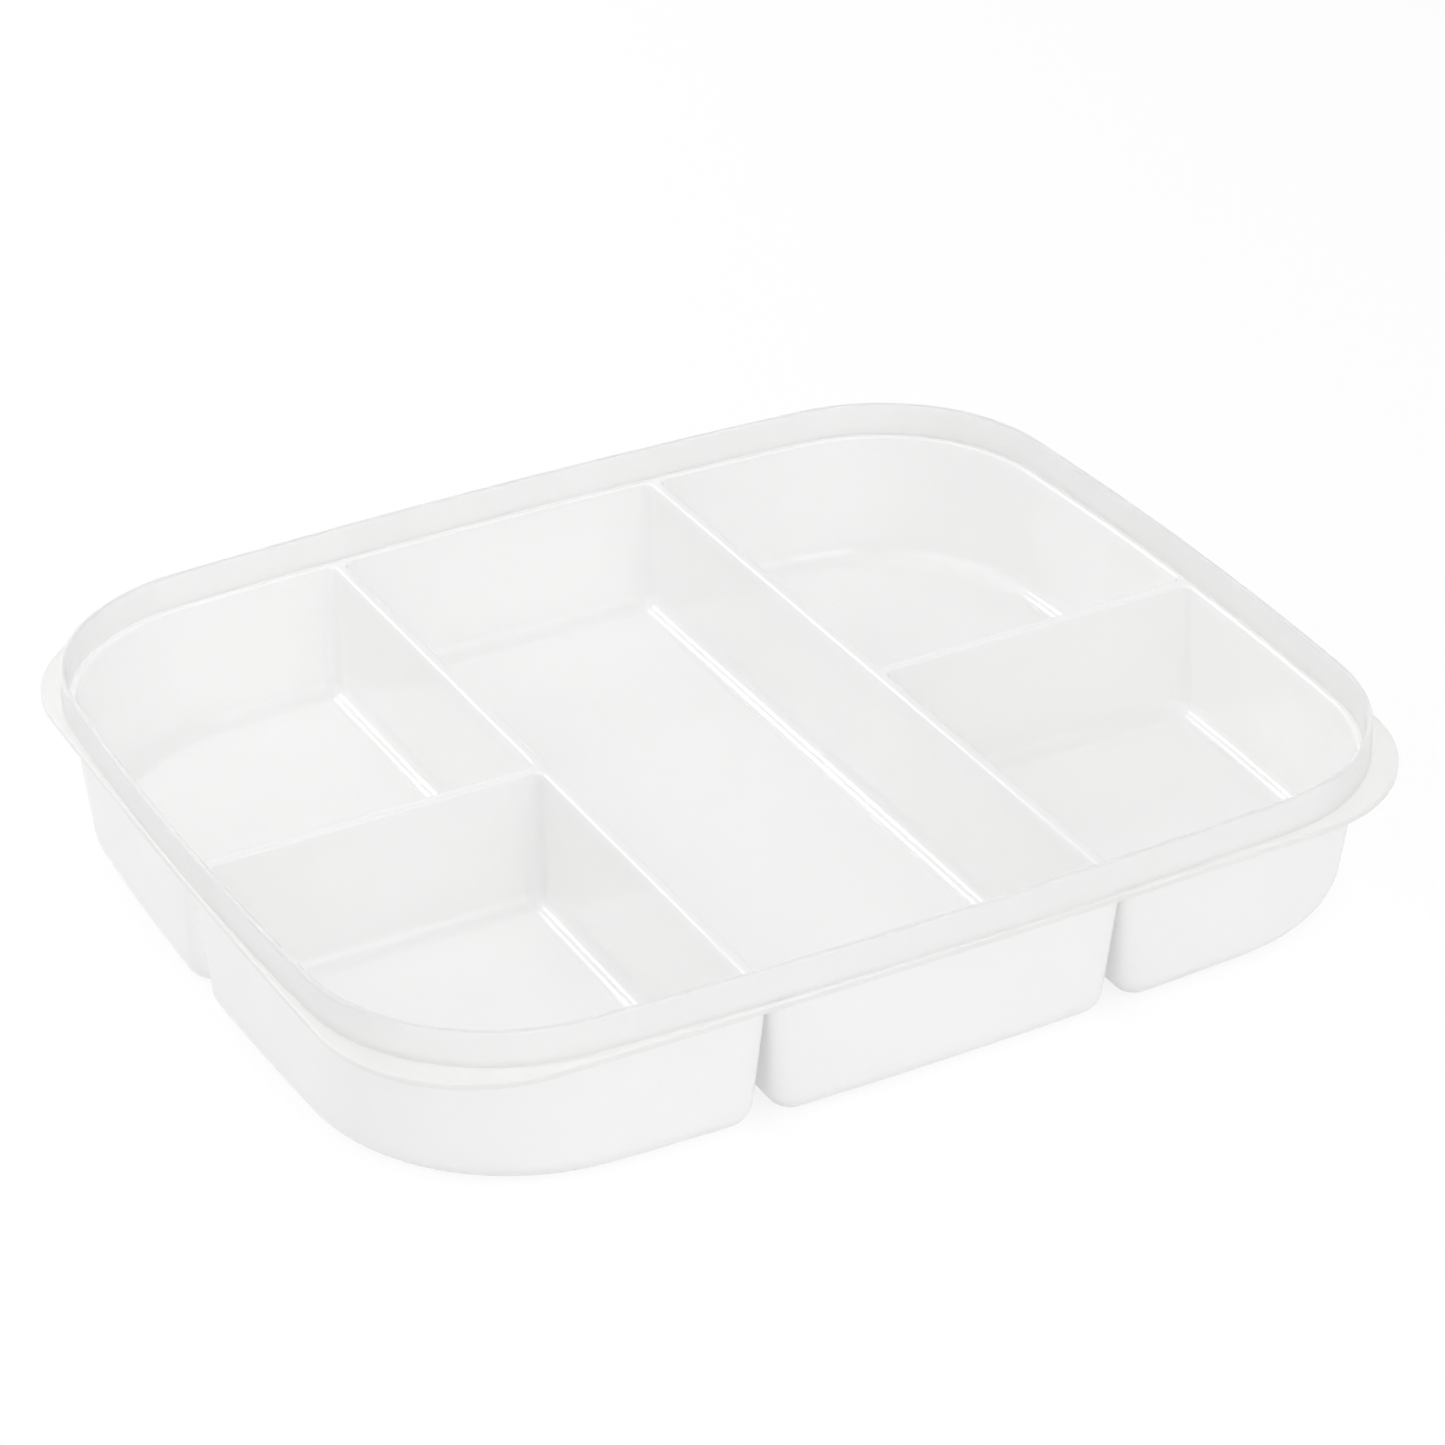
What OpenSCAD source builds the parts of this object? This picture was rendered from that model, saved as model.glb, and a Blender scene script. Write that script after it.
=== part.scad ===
// Lunch box tray with five compartments, moulded in one piece from thin translucent plastic.
// The base stands on z = 0, centred on the origin; +X runs along the long side and -Y is the front.
// Each node is one feature of the moulding, and the nodes meet face to face without overlapping.

/* [Rim] */
// Length of the rim over its outer faces, left to right
rim_length = 216; // [190:1:260]
// Width of the rim over its outer faces, front to back
rim_width = 185; // [160:1:230]
// Radius of the rim's four corners, on the outer face
rim_corner_radius = 38.5; // [28:0.5:50]
// How far the middle of the front and back sides stands out beyond their ends
front_bow = 5; // [2:0.5:8]
// How far the middle of the left and right sides stands out beyond their ends
side_bow = 5; // [2:0.5:8]

/* [Lid seat] */
// Height of the upright collar that the lid closes on
collar_height = 7; // [4:0.5:12]
// Thickness of the collar
collar_wall = 1.2; // [0.8:0.1:2]
// Width of the ledge inside the collar
ledge_width = 1.3; // [0.8:0.1:4]
// Thickness of the ledge, the lift flange and the divider tops
deck_thickness = 1.3; // [1:0.1:3]

/* [Lift flange] */
// How far the flange stands out beyond the collar at the middle of each side
flange_overhang = 0.5; // [0.3:0.1:3]
// How much smaller the radius of the flange's corners is than the rim's, which leaves a lift tab at each
flange_corner_cut = 7.5; // [2:0.5:12]
// How far the middle of each side of the flange stands out beyond its ends
flange_bow = 1.8; // [0.5:0.1:5]

/* [Compartments] */
// Height of the tray from its base to the top of the collar
tray_height = 35; // [25:1:60]
// Thickness of the compartment walls and floors
wall = 1; // [0.8:0.1:2]
// Distance between the middles of the two long dividers
divider_spacing = 71.2; // [50:0.5:90]
// How far the two cross dividers lie behind the middle of the tray
cross_divider_offset = -2; // [-20:0.5:20]
// Gap between the two walls of a divider at its top
divider_gap = 0.2; // [0.2:0.1:3]
// Inside radius of the upright corners beside a divider, at the top
upright_radius = 2; // [1.5:0.1:5]
// Inside radius between wall and floor
floor_radius = 3.5; // [2:0.1:6]

/* [Draft] */
// How far the left and right walls lean in from the top to the base
side_draft = 1; // [0.5:0.1:4]
// How far the front and back walls lean in from the top to the base
front_draft = 2.2; // [0.5:0.1:4]
// How far each wall of a divider leans away from the divider's middle
divider_draft = 1.7; // [0.5:0.1:3]
// How much larger the outer corner radius is at the base than a plain inset would leave it
corner_draft = 5; // [0:0.5:8]

/* [Hidden] */

PLASTIC = [0.93, 0.94, 0.93];
FLOOR_SHADE = [0.86, 0.88, 0.88];

// Segments on each kind of arc
CORNER_STEPS = 20;
SIDE_STEPS = 10;
SMALL_STEPS = 6;
FILLET_STEPS = 6;
WALL_STEPS = 2;

// Longer than anything that it cuts
FAR = rim_length + rim_width;

// Levels, upwards from the base
deck_top_z = tray_height - collar_height;
deck_low_z = deck_top_z - deck_thickness;

// The middle line of the right long divider, and half a divider's width at its top
divider_x = divider_spacing / 2;
divider_half = wall + divider_gap / 2;

// How far in from the rim's outer face the compartments open
opening_inset = collar_wall + ledge_width;

// Radius of a side that stands out by bow at the middle of a half length
function side_radius(half, bow) = (half * half + bow * bow) / (2 * bow);

// An outline is [half length, half width, corner radius, front side radius, left side radius].
RIM = [
    rim_length / 2, rim_width / 2, rim_corner_radius,
    side_radius(rim_length / 2, front_bow), side_radius(rim_width / 2, side_bow)
];
FLANGE = [
    rim_length / 2 + flange_overhang, rim_width / 2 + flange_overhang, rim_corner_radius - flange_corner_cut,
    side_radius(rim_length / 2, flange_bow), side_radius(rim_width / 2, flange_bow)
];

// The outline moved inwards by d everywhere
function inset(o, d) = [o[0] - d, o[1] - d, o[2] - d, o[3] - d, o[4] - d];

// The compartment walls' inner face at a share t of the way down from the top, moved in by f
function wall_outline(t, f) = let (o = inset(RIM, opening_inset + f)) [
    o[0] - side_draft * t, o[1] - front_draft * t, o[2] + corner_draft * t,
    o[3] - front_draft * t, o[4] - side_draft * t
];

// Points on an arc about c, from angle a to angle b
function arc(c, r, a, b, steps) = [
    for (i = [0:steps]) let (q = a + (b - a) * i / steps) c + r * [cos(q), sin(q)]
];

// Centres of the back side and of the right side of an outline
function back_centre(o) = [0, o[1] - o[3]];
function right_centre(o) = [o[0] - o[4], 0];

// Centre of the corner that touches both the back side and the right side from inside
function corner_centre(o) = let (
    p = back_centre(o),
    q = right_centre(o),
    rp = o[3] - o[2],
    rq = o[4] - o[2],
    d = q - p,
    gap = norm(d),
    along = (rp * rp - rq * rq + gap * gap) / (2 * gap),
    across = sqrt(rp * rp - along * along)
) p + d / gap * along + [d.y, -d.x] / gap * across;

function angle_from(p, q) = atan2(q.y - p.y, q.x - p.x);

// A quarter of an outline, from the middle of the right side to the middle of the back side
function quarter(o) = let (
    c = corner_centre(o),
    p = back_centre(o),
    q = right_centre(o),
    low = angle_from(q, c),
    high = angle_from(p, c)
) concat(
    arc(q, o[4], 0, low, SIDE_STEPS),
    arc(c, o[2], low, high, CORNER_STEPS),
    arc(p, o[3], high, 90, SIDE_STEPS)
);

function reversed(list) = [for (i = [len(list) - 1:-1:0]) list[i]];
function mirror_x(list) = reversed([for (p = list) [-p.x, p.y]]);
function mirror_y(list) = reversed([for (p = list) [p.x, -p.y]]);

// The plan of a corner compartment that lies right of x and behind y, with small radius s
function corner_plan(o, x, y, s) = let (
    c = corner_centre(o),
    p = back_centre(o),
    q = right_centre(o),
    at_side = [q.x + sqrt(pow(o[4] - s, 2) - pow(y + s, 2)), y + s],
    at_back = [x + s, p.y + sqrt(pow(o[3] - s, 2) - pow(x + s, 2))]
) concat(
    arc([x + s, y + s], s, 180, 270, SMALL_STEPS),
    arc(at_side, s, 270, 360 + angle_from(q, at_side), SMALL_STEPS),
    arc(q, o[4], angle_from(q, at_side), angle_from(q, c), SIDE_STEPS),
    arc(c, o[2], angle_from(q, c), angle_from(p, c), CORNER_STEPS),
    arc(p, o[3], angle_from(p, c), angle_from(p, at_back), SIDE_STEPS),
    arc(at_back, s, angle_from(p, at_back), 180, SMALL_STEPS)
);

// The plan of the centre compartment, between -x and x
function centre_plan(o, x, s) = let (
    p = back_centre(o),
    at_back = [x - s, p.y + sqrt(pow(o[3] - s, 2) - pow(x - s, 2))],
    half = concat(
        arc(at_back, s, 0, angle_from(p, at_back), SMALL_STEPS),
        arc(p, o[3], angle_from(p, at_back), 180 - angle_from(p, at_back), 2 * SIDE_STEPS),
        arc([-at_back.x, at_back.y], s, 180 - angle_from(p, at_back), 180, SMALL_STEPS)
    )
) concat(half, mirror_y(half));

// Inner plan of a compartment at a share t of the way down, moved in by f.
// side is -1 for left, 0 for the centre and 1 for right; row is -1 for front and 1 for back.
function tub_plan(side, row, t, f) = let (
    o = wall_outline(t, f),
    lean = divider_draft * t + f,
    s = upright_radius + (floor_radius - upright_radius + wall / 2) * t - f,
    from_x = divider_x + divider_half + lean,
    from_y = row * cross_divider_offset + divider_half + lean,
    plan = side == 0
        ? centre_plan(o, divider_x - divider_half - lean, s)
        : corner_plan(o, from_x, from_y, s),
    turned = side < 0 ? mirror_x(plan) : plan
) row < 0 ? mirror_y(turned) : turned;

// One face of a compartment, as [share of the way down, inset, height] for each ring,
// from the top to the flat of the floor; out is how far the face lies outside the inner one
function tub_rings(out) = let (r = floor_radius + out, low = wall - out) concat(
    [for (i = [0:WALL_STEPS]) let (z = deck_low_z + (low + r - deck_low_z) * i / (WALL_STEPS + 1))
        [1 - z / deck_low_z, -out, z]],
    [for (i = [0:FILLET_STEPS]) let (q = 90 * i / FILLET_STEPS, z = low + r * (1 - sin(q)))
        [1 - z / deck_low_z, r * (1 - cos(q)) - out, z]]
);

function tub_points(side, row, rings) = [
    for (r = rings, p = tub_plan(side, row, r[0], r[1])) [p.x, p.y, r[2]]
];

// Two triangles for each cell between ring a and ring b, which both have n points
function band(a, b, n) = [
    for (i = [0:n - 1], half = [0, 1]) let (j = (i + 1) % n)
        half == 0 ? [a + i, b + i, b + j] : [a + i, b + j, a + j]
];

// A thin-walled compartment, open at the top
module tub(side, row) {
    outer = tub_rings(wall);
    inner = tub_rings(0);
    n = len(tub_plan(side, row, 0, 0));
    start = n * len(outer);
    last_outer = n * (len(outer) - 1);
    last_inner = start + n * (len(inner) - 1);
    faces = concat(
        [for (k = [0:len(outer) - 2], f = band(n * (k + 1), n * k, n)) f],
        [for (k = [0:len(inner) - 2], f = band(start + n * k, start + n * (k + 1), n)) f],
        band(0, start, n),
        [[for (i = [0:n - 1]) last_outer + i]],
        [[for (i = [n - 1:-1:0]) last_inner + i]]
    );
    polyhedron(concat(tub_points(side, row, outer), tub_points(side, row, inner)), faces, convexity = 4);
}

// A flat outline
module outline_2d(o) {
    right = quarter(o);
    back = concat(right, mirror_x(right));
    polygon(concat(back, mirror_y(back)));
}

// The deck in plan: everything inside the rim except the five openings
module deck_2d() {
    difference() {
        outline_2d(RIM);
        for (side = [-1, 1], row = [-1, 1]) polygon(tub_plan(side, row, 0, 0));
        polygon(tub_plan(0, 1, 0, 0));
    }
}

// Where the top of a long divider lies, with the corners of its crossing; side is -1 or 1
module long_divider_zone(side) {
    reach = divider_half + upright_radius;
    intersection() {
        outline_2d(inset(RIM, opening_inset));
        union() {
            translate([side * divider_x, 0]) square([2 * divider_half, FAR], center = true);
            translate([side * (divider_x + reach / 2), cross_divider_offset])
                square([reach, 2 * reach], center = true);
        }
    }
}

// Where the top of a cross divider lies, outwards from its crossing
module cross_divider_zone(side) {
    start = divider_x + divider_half + upright_radius;
    intersection() {
        outline_2d(inset(RIM, opening_inset));
        translate([side * (start + FAR / 2), cross_divider_offset])
            square([FAR, 2 * divider_half], center = true);
    }
}

// A plate of the deck's thickness at the deck's height
module at_deck() {
    translate([0, 0, deck_low_z]) linear_extrude(deck_thickness) children();
}

module tub_back_left() {
    color(PLASTIC) tub(-1, 1);
}

module tub_front_left() {
    color(PLASTIC) tub(-1, -1);
}

module tub_centre() {
    color(FLOOR_SHADE) tub(0, 1);
}

module tub_back_right() {
    color(PLASTIC) tub(1, 1);
}

module tub_front_right() {
    color(PLASTIC) tub(1, -1);
}

// The closed top of a long divider
module long_divider_top(side) {
    color(PLASTIC) at_deck() intersection() {
        deck_2d();
        long_divider_zone(side);
    }
}

// The closed top of a cross divider
module cross_divider_top(side) {
    color(PLASTIC) at_deck() intersection() {
        deck_2d();
        cross_divider_zone(side);
    }
}

module long_divider_top_left() {
    long_divider_top(-1);
}

module long_divider_top_right() {
    long_divider_top(1);
}

module cross_divider_top_left() {
    cross_divider_top(-1);
}

module cross_divider_top_right() {
    cross_divider_top(1);
}

// The ledge inside the collar and the foot that the collar rises from
module seat_ring() {
    color(FLOOR_SHADE) at_deck() difference() {
        deck_2d();
        for (side = [-1, 1]) {
            long_divider_zone(side);
            cross_divider_zone(side);
        }
    }
}

// The upright wall that the lid closes on
module collar() {
    color(PLASTIC) translate([0, 0, deck_top_z]) linear_extrude(collar_height) difference() {
        outline_2d(RIM);
        outline_2d(inset(RIM, collar_wall));
    }
}

// The flange outside the collar's foot, which widens to a lift tab at each corner
module lift_flange() {
    color(FLOOR_SHADE) at_deck() difference() {
        outline_2d(FLANGE);
        outline_2d(RIM);
    }
}

tub_back_left();
tub_front_left();
tub_centre();
tub_back_right();
tub_front_right();
long_divider_top_left();
long_divider_top_right();
cross_divider_top_left();
cross_divider_top_right();
seat_ring();
collar();
lift_flange();
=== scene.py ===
# %% [markdown]
# # A five-compartment lunch tray
#
# The real tray is one injection moulding of natural polypropylene, about one millimetre thick. The solid
# model that comes with it has the right sizes, but it is cut into twelve blocks with sharp edges. Here the
# same tray is drawn as it comes out of the mould: one closed skin with rounded edges, hollow dividers and
# soft corners. Every size is read from the frame or repeated from it, so both models fill the same space.

# %% Load the frame
import math
from collections import namedtuple
from functools import partial

import bmesh
import bpy
import numpy as np
from mathutils import Matrix, Vector


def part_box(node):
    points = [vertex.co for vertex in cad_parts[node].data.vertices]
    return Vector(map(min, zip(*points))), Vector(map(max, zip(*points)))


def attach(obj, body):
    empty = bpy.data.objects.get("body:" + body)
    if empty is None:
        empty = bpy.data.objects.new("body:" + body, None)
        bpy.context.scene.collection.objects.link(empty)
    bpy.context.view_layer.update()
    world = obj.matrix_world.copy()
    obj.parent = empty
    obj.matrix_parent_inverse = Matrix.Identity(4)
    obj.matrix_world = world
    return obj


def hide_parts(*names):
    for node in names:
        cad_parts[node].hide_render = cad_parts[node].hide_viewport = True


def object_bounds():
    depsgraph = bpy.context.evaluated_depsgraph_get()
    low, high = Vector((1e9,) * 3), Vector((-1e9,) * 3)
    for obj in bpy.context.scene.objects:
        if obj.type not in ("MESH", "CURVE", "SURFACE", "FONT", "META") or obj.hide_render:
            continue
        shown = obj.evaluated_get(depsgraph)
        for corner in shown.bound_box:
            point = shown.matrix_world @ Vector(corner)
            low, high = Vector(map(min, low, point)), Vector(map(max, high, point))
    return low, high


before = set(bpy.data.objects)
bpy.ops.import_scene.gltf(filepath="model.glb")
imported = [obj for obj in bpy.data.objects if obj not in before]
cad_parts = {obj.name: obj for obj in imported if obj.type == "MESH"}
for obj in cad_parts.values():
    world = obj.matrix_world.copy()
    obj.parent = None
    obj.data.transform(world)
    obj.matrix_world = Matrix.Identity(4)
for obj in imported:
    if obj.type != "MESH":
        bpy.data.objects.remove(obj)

cad_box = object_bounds()
MM = 0.001
print("nodes in the frame:", len(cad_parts))

# %% [markdown]
# ## Sizes
#
# The boxes of the frame's nodes give the levels and the main widths. The collar's box is the rim, the
# flange's box gives the thickness of the deck, and a pair of compartments on both sides of a divider gives
# the divider's middle. Radii, bows and drafts don't show in a box, so they are named once here.

# %% Sizes that the frame gives
rim_low, rim_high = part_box("collar")
flange_low, flange_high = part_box("lift_flange")
deck_top = rim_low.z
deck_low = flange_low.z
rim_top = rim_high.z

centre_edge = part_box("tub_centre")[1].x
side_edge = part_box("tub_back_right")[0].x
long_x = (centre_edge + side_edge) / 2
divider_gap = side_edge - centre_edge
wall = long_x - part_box("long_divider_top_right")[0].x - divider_gap / 2
divider_half = wall + divider_gap / 2
cross_y = (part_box("tub_front_right")[1].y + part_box("tub_back_right")[0].y) / 2
print("wall", round(wall / MM, 2), "mm, long dividers at", round(long_x / MM, 2), "mm")

# %% Sizes that a box doesn't give
FRONT_BOW = 5 * MM
SIDE_BOW = 5 * MM
RIM_RADIUS = 38.5 * MM
FLANGE_RADIUS = 31 * MM
FLANGE_BOW = 1.8 * MM
COLLAR_WALL = 1.2 * MM
LEDGE_WIDTH = 1.3 * MM
UPRIGHT_RADIUS = 2 * MM
FLOOR_RADIUS = 3.5 * MM
SIDE_DRAFT = 1 * MM
FRONT_DRAFT = 2.2 * MM
DIVIDER_DRAFT = 1.7 * MM
CORNER_DRAFT = 5 * MM

# The roundings that the moulding has and the solid model leaves sharp
EDGE_RADIUS = 0.5 * MM
FOOT_RADIUS = 0.4 * MM
OUTER_FOOT_RADIUS = 0.2 * MM
FLANGE_EDGE_RADIUS = 0.3 * MM
UNDER_RADIUS = 0.4 * MM
FLOOR_CROWN = 0.15 * MM

opening_inset = COLLAR_WALL + LEDGE_WIDTH
corner_reach = divider_half + UPRIGHT_RADIUS

# %% [markdown]
# ## The outline
#
# Seen from above, the rim is a rectangle whose sides are shallow arcs and whose corners are tight arcs that
# touch them. Because every piece is an arc, an outline that lies further in has the same centres and smaller
# radii. That makes parallel walls exact, and it gives each point of the rim a direction to be moved along.

# %% Outlines made of arcs
Outline = namedtuple("Outline", "half_length half_width corner front side")


def bow_radius(half, bow):
    """Radius of an arc that rises by bow over a half chord: (half squared + bow squared) / (2 bow)."""
    return (half * half + bow * bow) / (2 * bow)


def inset(outline, distance):
    """The parallel outline: every radius and both half sizes shrink by the same distance."""
    return Outline(*(value - distance for value in outline))


def centres(outline):
    """Centres of the back arc, the right arc and the corner arc. The corner's centre is where two circles
    about the other centres cross, each smaller than its arc by the corner's radius."""
    back = np.array([0.0, outline.half_width - outline.front])
    right = np.array([outline.half_length - outline.side, 0.0])
    reach_back = outline.front - outline.corner
    reach_right = outline.side - outline.corner
    link = right - back
    span = np.linalg.norm(link)
    along = (reach_back**2 - reach_right**2 + span**2) / (2 * span)
    across = math.sqrt(reach_back**2 - along**2)
    corner = back + link / span * along + np.array([link[1], -link[0]]) / span * across
    return back, right, corner


def direction(start, end):
    """Angle of the line from start to end."""
    return math.atan2(end[1] - start[1], end[0] - start[0])


RIM = Outline(rim_high.x, rim_high.y, RIM_RADIUS,
              bow_radius(rim_high.x, FRONT_BOW), bow_radius(rim_high.y, SIDE_BOW))
FLANGE = Outline(flange_high.x, flange_high.y, FLANGE_RADIUS,
                 bow_radius(rim_high.x, FLANGE_BOW), bow_radius(rim_high.y, FLANGE_BOW))
print("side arcs have radii of", round(RIM.front / MM), "and", round(RIM.side / MM), "mm")


# %% Runs and turns
def run(start, end, count):
    """count points evenly from start towards end, without end: start + share (end - start)."""
    share = np.arange(count)[:, None] / count
    return np.asarray(start) + share * (np.asarray(end) - np.asarray(start))


def turn(centre, radius, start, end, count):
    """count points on an arc from one angle towards another, without the last one:
    centre + radius (cos angle, sin angle)."""
    angle = start + (end - start) * np.arange(count) / count
    return np.asarray(centre) + radius * np.stack([np.cos(angle), np.sin(angle)], 1)


# %% [markdown]
# ## Five cells
#
# The deck is cut into five cells along the middle lines of the dividers. Each cell is a stack of closed rings
# that run from the cell's border over the rounded edge, down the wall, round the fillet and across the floor
# to a pole. A ring has the same number of points at every level, and the border's points are shared by
# neighbours, so the cells close into one skin when points that coincide are merged. The compartments on the
# left and in front are the same cell with the signs of x and y changed.

# %% How finely each stretch is divided
HALF_SMALL = 5
SMALL = 2 * HALF_SMALL
RUN_X = 20
RUN_Y = 24
SIDE = 14
CORNER = 32
BACK = 14
CENTRE_BACK = 24


def wall_outline(share, inward):
    """Inner face of the outer wall. share is how far down the wall, 0 at the deck and 1 at the base: the
    sides lean in by share times their draft, and the corner's radius grows by share times its own."""
    base = inset(RIM, opening_inset + inward)
    return Outline(base.half_length - SIDE_DRAFT * share, base.half_width - FRONT_DRAFT * share,
                   base.corner + CORNER_DRAFT * share,
                   base.front - FRONT_DRAFT * share, base.side - SIDE_DRAFT * share)


def small_radius(share, inward):
    """Radius of the upright corners beside a divider: it grows down the wall and shrinks inwards."""
    return UPRIGHT_RADIUS + (FLOOR_RADIUS - UPRIGHT_RADIUS + wall / 2) * share - inward


def corner_ring(border_y, share, inward):
    """Plan of a corner compartment right of the long divider and behind a cross divider at border_y."""
    outline = wall_outline(share, inward)
    back, right, corner = centres(outline)
    radius = small_radius(share, inward)
    lean = DIVIDER_DRAFT * share + inward
    x = long_x + divider_half + lean + radius
    y = border_y + divider_half + lean + radius
    at_side = np.array([right[0] + math.sqrt((outline.side - radius)**2 - y**2), y])
    at_back = np.array([x, back[1] + math.sqrt((outline.front - radius)**2 - x**2)])
    low, high = direction(right, corner), direction(back, corner)
    start, end = direction(right, at_side), direction(back, at_back)
    return np.concatenate([
        turn([x, y], radius, math.pi, 1.5 * math.pi, SMALL),
        run([x, y - radius], at_side - [0, radius], RUN_X),
        turn(at_side, radius, -math.pi / 2, start, SMALL),
        turn(right, outline.side, start, low, SIDE),
        turn(corner, outline.corner, low, high, CORNER),
        turn(back, outline.front, high, end, BACK),
        turn(at_back, radius, end, math.pi, SMALL),
        run(at_back - [radius, 0], [x - radius, y], RUN_Y),
    ])


def centre_ring(share, inward):
    """Plan of the centre compartment. Its long walls have a stop opposite each cross divider."""
    outline = wall_outline(share, inward)
    back = centres(outline)[0]
    radius = small_radius(share, inward)
    x = long_x - divider_half - DIVIDER_DRAFT * share - inward
    at_back = np.array([x - radius, back[1] + math.sqrt((outline.front - radius)**2 - (x - radius)**2)])
    end = direction(back, at_back)
    stops = [-at_back[1], cross_y - corner_reach, cross_y, cross_y + corner_reach, at_back[1]]
    counts = [RUN_Y, HALF_SMALL, HALF_SMALL, RUN_Y]
    right_wall = np.concatenate([run([x, a], [x, b], n) for a, b, n in zip(stops, stops[1:], counts)])
    left_wall = np.concatenate([run([-x, b], [-x, a], n)
                                for a, b, n in zip(stops[::-1][1:], stops[::-1], counts)])
    flip_x, flip_y = np.array([-1, 1]), np.array([1, -1])
    return np.concatenate([
        turn(at_back, radius, 0, end, SMALL),
        turn(back, outline.front, end, math.pi - end, CENTRE_BACK),
        turn(at_back * flip_x, radius, math.pi - end, math.pi, SMALL),
        left_wall,
        turn(-at_back, radius, math.pi, math.pi + end, SMALL),
        turn(back * flip_y, outline.front, math.pi + end, 2 * math.pi - end, CENTRE_BACK),
        turn(at_back * flip_y, radius, -end, 0, SMALL),
        right_wall,
    ])


# %% [markdown]
# The border of a cell runs along the middle of its dividers and, on the outside, along the foot of the
# collar. The stretch along the foot is kept as centres, radii and directions, because the same points are
# used again for the collar, the rim and the flange.

# %% Borders that neighbours share
Foot = namedtuple("Foot", "centre radius normal")


def foot_turn(centre, radius, start, end, count, last=False):
    """Points of the rim between two angles, as centre, radius and outward direction. Moving one inwards by d
    gives centre + (radius - d) direction."""
    angle = start + (end - start) * np.arange(count + last) / count
    normal = np.stack([np.cos(angle), np.sin(angle)], 1)
    return Foot(np.broadcast_to(centre, normal.shape), np.full(len(angle), radius), normal)


def foot_join(parts):
    """One stretch from several."""
    return Foot(*(np.concatenate(values) for values in zip(*parts)))


def foot_points(foot, distance):
    """The foot's points moved inwards by a distance, which may differ from point to point."""
    return foot.centre + (foot.radius - distance)[:, None] * foot.normal


def rim_angles(border_y):
    """Angles at which dividers and small corners meet the side arc and the back arc of the rim."""
    back, right, _ = centres(RIM)
    level = inset(RIM, opening_inset)
    x = long_x + corner_reach
    y = border_y + corner_reach
    reach_side, reach_back = level.side - UPRIGHT_RADIUS, level.front - UPRIGHT_RADIUS
    inner_x = long_x - corner_reach
    return (math.asin(border_y / level.side), math.asin(y / reach_side),
            math.acos(long_x / level.front), math.acos(x / reach_back), math.acos(inner_x / reach_back))


def corner_foot(border_y):
    """The rim's points along a corner cell, from the cross divider to the long one, with both ends."""
    back, right, corner = centres(RIM)
    low, high = direction(right, corner), direction(back, corner)
    side_meet, side_start, back_meet, back_end, _ = rim_angles(border_y)
    return foot_join([
        foot_turn(right, RIM.side, side_meet, side_start, HALF_SMALL),
        foot_turn(right, RIM.side, side_start, low, SIDE),
        foot_turn(corner, RIM.corner, low, high, CORNER),
        foot_turn(back, RIM.front, high, back_end, BACK),
        foot_turn(back, RIM.front, back_end, back_meet, HALF_SMALL, last=True),
    ])


def centre_foot():
    """The rim's points along the back of the centre cell, from right to left, with both ends."""
    back = centres(RIM)[0]
    _, _, meet, _, start = rim_angles(cross_y)
    return foot_join([
        foot_turn(back, RIM.front, meet, start, HALF_SMALL),
        foot_turn(back, RIM.front, start, math.pi - start, CENTRE_BACK),
        foot_turn(back, RIM.front, math.pi - start, math.pi - meet, HALF_SMALL, last=True),
    ])


def divider_line(end, crossing, count):
    """Points from the collar's foot to a crossing of the dividers, without the crossing: half a small corner,
    a long run, and the other half."""
    end, crossing = np.asarray(end), np.asarray(crossing)
    length = np.linalg.norm(crossing - end)
    near = end + (crossing - end) * (corner_reach / length)
    far = crossing + (end - crossing) * (corner_reach / length)
    return np.concatenate([run(end, near, HALF_SMALL), run(near, far, count),
                           run(far, crossing, HALF_SMALL)])


def backwards(line, last):
    """The same points in the other order: last takes the place of the point that was left out."""
    return np.concatenate([[last], line[:0:-1]])


def corner_border(border_y, distance):
    """Closed border of a corner cell in the order of corner_ring. Its outside lies at a distance from the
    rim."""
    crossing = np.array([long_x, border_y])
    outside = foot_points(corner_foot(border_y), distance)
    cross_line = backwards(divider_line(outside[0], crossing, RUN_X), crossing)
    long_line = divider_line(outside[-1], crossing, RUN_Y)
    border = np.concatenate([cross_line, outside[:-1], long_line])
    return np.roll(border, HALF_SMALL, axis=0)


def centre_border(distance):
    """Closed border of the centre cell in the order of centre_ring."""
    flip_x, flip_y = np.array([-1, 1]), np.array([1, -1])
    crossing = np.array([long_x, cross_y])
    outside = foot_points(centre_foot(), distance)
    down = divider_line(outside[0], crossing, RUN_Y)
    up = divider_line(outside[0] * flip_y, crossing, RUN_Y)
    right_side = np.concatenate([up, backwards(down, crossing)])
    left_side = np.concatenate([down, backwards(up, crossing)]) * flip_x
    front = outside[::-1] * flip_y
    border = np.concatenate([outside[:-1], left_side, front[:-1], right_side])
    return np.roll(border, HALF_SMALL, axis=0)


# %% [markdown]
# ## From rings to skins
#
# A skin is a table of points, one row for each ring. The inner skin starts on the deck, turns over the edge,
# follows the drafted wall, and ends in the fillet and the floor. The outer skin does the same below, one wall
# thickness away. A drafted wall is straight, so it needs few rows, and the roundings get most of them.

# %% Rows of the two skins
EDGE_ROWS = 7
WALL_ROWS = 9
FILLET_ROWS = 12
UNDER_ROWS = 5
DECK_SHARE = 0.75
FLOOR_SHARES = np.array([0.985, 0.93, 0.83, 0.7, 0.55, 0.4, 0.25, 0.1])


def share_down(height):
    """How far down the wall a height lies: 0 at the top of the deck, 1 at the base."""
    return 1 - height / deck_top


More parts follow.
